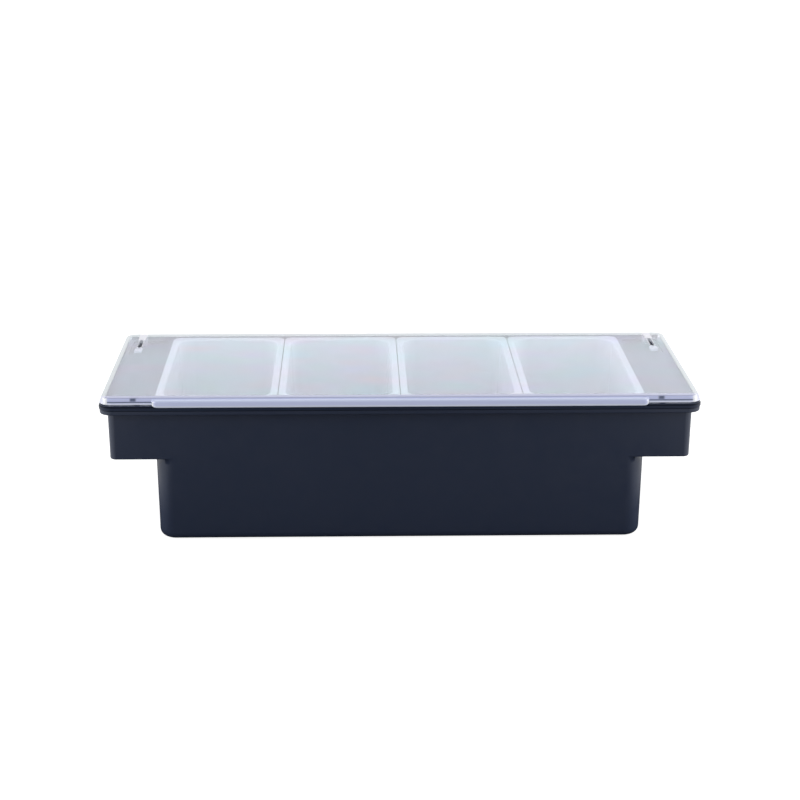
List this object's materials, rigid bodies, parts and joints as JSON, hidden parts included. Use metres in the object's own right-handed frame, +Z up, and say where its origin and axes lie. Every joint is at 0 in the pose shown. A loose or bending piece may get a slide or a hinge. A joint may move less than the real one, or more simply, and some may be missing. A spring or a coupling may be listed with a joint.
{
  "type": "condiment caddy",
  "caption": "Long bar condiment caddy: a black T-shaped tray with lift-out white inserts side by side under a flat clear lid hinged along the back.",
  "frame": {"origin": "middle of the flat underside, on the surface the caddy stands on, under the middle of the tub", "axes": "+X along the length, towards the right end seen from the front; the front with the finger lip faces -Y; +Z up"},
  "size_m": [0.398, 0.1633, 0.1019],
  "materials": {
    "tray_black": "satin moulded, navy black",
    "insert_white": "smooth moulded, milky white",
    "lid_clear": "polished, clear with a faint lavender edge",
    "pin_steel": "drawn wire",
    "rest_rubber": "matte"
  },
  "bodies": {
    "base": {"tray": "tray_black", "hinge_pin_left": "pin_steel", "hinge_pin_right": "pin_steel", "lid_rest_left": "rest_rubber", "lid_rest_right": "rest_rubber"},
    "lid": {"lid": "lid_clear"},
    "insert_1": {"insert_1": "insert_white"},
    "insert_2": {"insert_2": "insert_white"},
    "insert_3": {"insert_3": "insert_white"},
    "insert_4": {"insert_4": "insert_white"}
  },
  "joints": [
    {"name": "lid_hinge", "type": "hinge", "parent": "base", "child": "lid", "pos_m": [0, 0.0758, 0.0936], "axis": [-1, 0, 0], "range_deg": [0, 105]},
    {"name": "insert_1_lift", "type": "slide", "parent": "base", "child": "insert_1", "axis": [0, 0, 1], "range_m": [0, 0.0014]},
    {"name": "insert_2_lift", "type": "slide", "parent": "base", "child": "insert_2", "axis": [0, 0, 1], "range_m": [0, 0.0014]},
    {"name": "insert_3_lift", "type": "slide", "parent": "base", "child": "insert_3", "axis": [0, 0, 1], "range_m": [0, 0.0014]},
    {"name": "insert_4_lift", "type": "slide", "parent": "base", "child": "insert_4", "axis": [0, 0, 1], "range_m": [0, 0.0014]}
  ]
}
